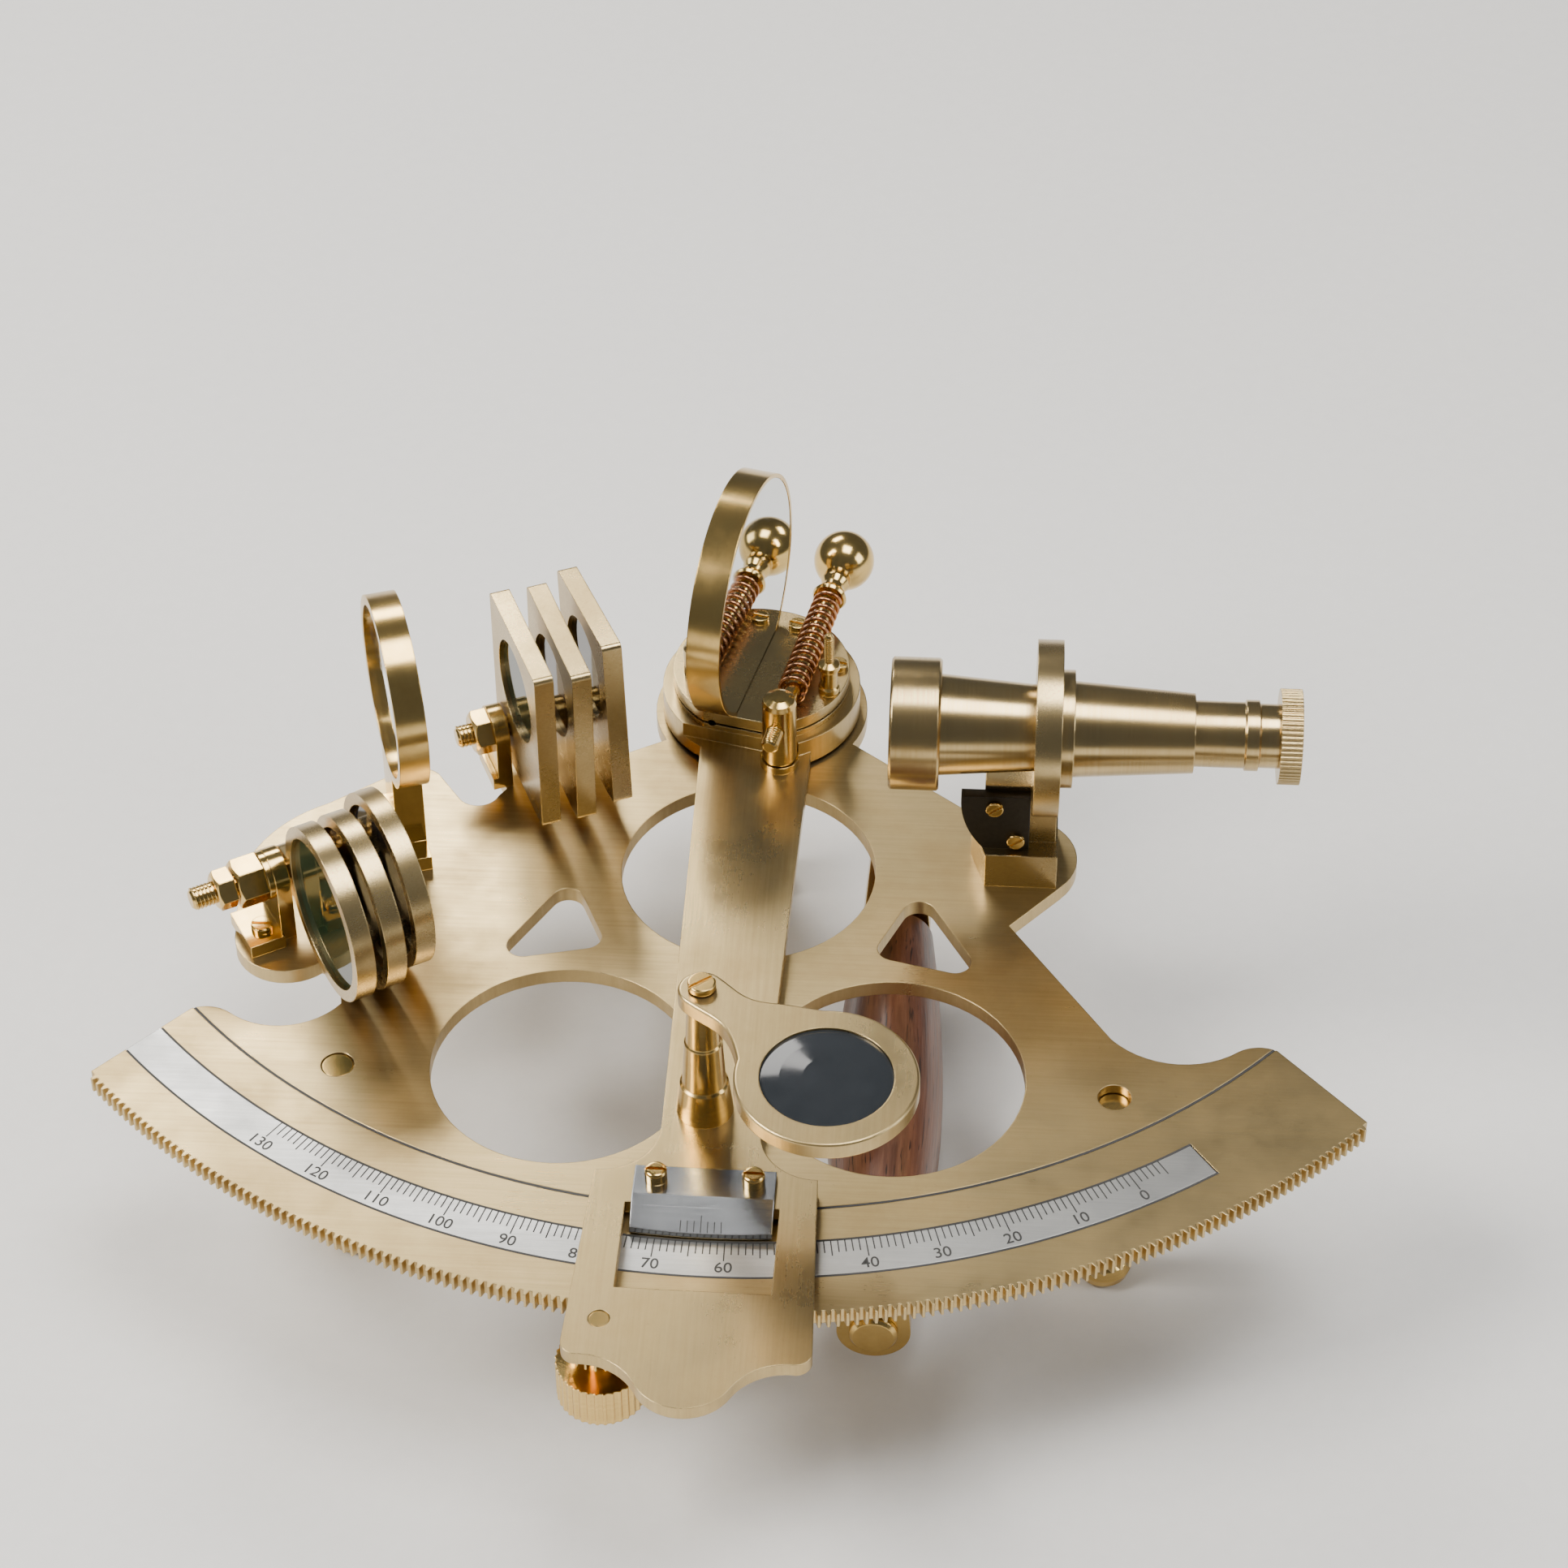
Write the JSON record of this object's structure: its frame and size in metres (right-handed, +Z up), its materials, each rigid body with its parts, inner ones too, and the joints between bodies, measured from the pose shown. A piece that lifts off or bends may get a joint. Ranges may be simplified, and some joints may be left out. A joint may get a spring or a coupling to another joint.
{
  "type": "nautical sextant",
  "caption": "Brass nautical sextant on feet: index arm with vernier on a toothed arc, mirrors, swinging shade glasses, reading lens and telescope.",
  "frame": {"origin": "centre of the pivot foot's flat underside, on the index arm's pivot axis", "axes": "+Z up along the pivot axis, +X along the telescope towards the eyepiece, -Y from the pivot to the arc"},
  "size_m": [0.22, 0.2067, 0.0985],
  "materials": {
    "frame_brass": "satin, brushed along the faces",
    "brass": "turned and polished, lightly satin",
    "scale_steel": "brushed, engraved and blacked",
    "dark_steel": "oxidised black",
    "screws": "polished",
    "spring_copper": "drawn wire",
    "handle_wood": "oiled dark rosewood",
    "mirror": "silvered glass",
    "clear_glass": "polished",
    "lens_glass": "polished, grey",
    "shade_glass_1": "dark green glass",
    "shade_glass_2": "dark amber glass",
    "shade_glass_3": "smoke grey glass"
  },
  "bodies": {
    "frame": {"frame_plate": "frame_brass", "scale_strip": "scale_steel", "foot_left": "brass", "foot_right": "brass", "foot_pivot": "brass", "pivot_bush": "brass", "underside_screws": "screws", "handle_grip": "handle_wood", "handle_posts": "brass", "handle_rod": "screws", "horizon_mirror_ring": "brass", "horizon_mirror_silvered": "mirror", "horizon_mirror_clear": "clear_glass", "horizon_stand": "brass", "bracket_screws": "screws", "index_shade_bracket": "brass", "index_shade_bolt": "brass", "shade_nuts": "brass", "shade_spacers": "brass", "horizon_shade_bracket": "brass", "horizon_shade_bolt": "brass", "telescope_bracket": "brass", "telescope_web": "dark_steel", "telescope_barrel": "brass", "objective_cell": "brass", "objective_lens": "clear_glass"},
    "index_arm": {"index_arm": "frame_brass", "pivot_shaft": "brass", "vernier_plate": "scale_steel", "vernier_screws": "screws", "mirror_base": "brass", "index_mirror_ring": "brass", "index_mirror_glass": "mirror", "mirror_base_screws": "screws", "mirror_adjuster": "brass", "swivel_post": "brass", "ball_screw_spring": "spring_copper", "lens_post": "brass", "arm_keeper": "brass"},
    "pinion": {"pinion": "brass", "pinion_knob": "brass"},
    "ball_screw": {"ball_screw": "brass"},
    "clamp_screw": {"clamp_screw": "brass"},
    "lens_holder": {"lens_holder": "brass", "reading_lens": "lens_glass"},
    "draw_tube": {"draw_tube": "brass", "eyepiece_ring": "brass", "eyepiece_lens": "clear_glass"},
    "index_shade_1": {"index_shade_frame_1": "brass", "index_shade_glass_1": "shade_glass_1"},
    "horizon_shade_1": {"horizon_shade_ring_1": "brass", "horizon_shade_glass_1": "shade_glass_1"},
    "index_shade_2": {"index_shade_frame_2": "brass", "index_shade_glass_2": "shade_glass_2"},
    "horizon_shade_2": {"horizon_shade_ring_2": "brass", "horizon_shade_glass_2": "shade_glass_2"},
    "index_shade_3": {"index_shade_frame_3": "brass", "index_shade_glass_3": "shade_glass_3"},
    "horizon_shade_3": {"horizon_shade_ring_3": "brass", "horizon_shade_glass_3": "shade_glass_3"}
  },
  "joints": [
    {"name": "arm_swing", "type": "hinge", "parent": "frame", "child": "index_arm", "pos_m": [0, 0, 0.048], "axis": [0, 0, 1], "range_deg": [-28.25, 34.25]},
    {"name": "pinion_spin", "type": "hinge", "parent": "index_arm", "child": "pinion", "pos_m": [-0.01666, -0.15461, 0.043], "axis": [0, 0, 1], "range_deg": [-790, 950]},
    {"name": "ball_screw_turn", "type": "hinge", "parent": "index_arm", "child": "ball_screw", "pos_m": [0.0045, -0.0189, 0.0584], "axis": [0.1994, 0.9799, 0], "continuous": true},
    {"name": "clamp_screw_turn", "type": "hinge", "parent": "index_arm", "child": "clamp_screw", "pos_m": [0.00013, -0.1445, 0.038], "axis": [0, 0, 1], "continuous": true},
    {"name": "lens_swing", "type": "hinge", "parent": "index_arm", "child": "lens_holder", "pos_m": [-0.0029, -0.1072, 0.076], "axis": [0, 0, 1], "range_deg": [-60, 75]},
    {"name": "draw_tube_slide", "type": "slide", "parent": "frame", "child": "draw_tube", "axis": [1, 0, 0], "range_m": [-0.008, 0.01]},
    {"name": "index_shade_turn_1", "type": "hinge", "parent": "frame", "child": "index_shade_1", "pos_m": [-0.04628, -0.01982, 0.0558], "axis": [0.9178, 0.3971, 0], "range_deg": [-95, 0]},
    {"name": "index_shade_turn_2", "type": "hinge", "parent": "frame", "child": "index_shade_2", "pos_m": [-0.04628, -0.01982, 0.0558], "axis": [0.9178, 0.3971, 0], "range_deg": [-95, 0]},
    {"name": "index_shade_turn_3", "type": "hinge", "parent": "frame", "child": "index_shade_3", "pos_m": [-0.04628, -0.01982, 0.0558], "axis": [0.9178, 0.3971, 0], "range_deg": [-95, 0]},
    {"name": "horizon_shade_turn_1", "type": "hinge", "parent": "frame", "child": "horizon_shade_1", "pos_m": [-0.08127, -0.06169, 0.0574], "axis": [0.8616, 0.5075, 0], "range_deg": [-75, 0]},
    {"name": "horizon_shade_turn_2", "type": "hinge", "parent": "frame", "child": "horizon_shade_2", "pos_m": [-0.08127, -0.06169, 0.0574], "axis": [0.8616, 0.5075, 0], "range_deg": [-75, 0]},
    {"name": "horizon_shade_turn_3", "type": "hinge", "parent": "frame", "child": "horizon_shade_3", "pos_m": [-0.08127, -0.06169, 0.0574], "axis": [0.8616, 0.5075, 0], "range_deg": [-75, 0]}
  ],
  "couplings": [
    {"joint": "pinion_spin", "follows": "arm_swing", "ratio": 27.273}
  ]
}
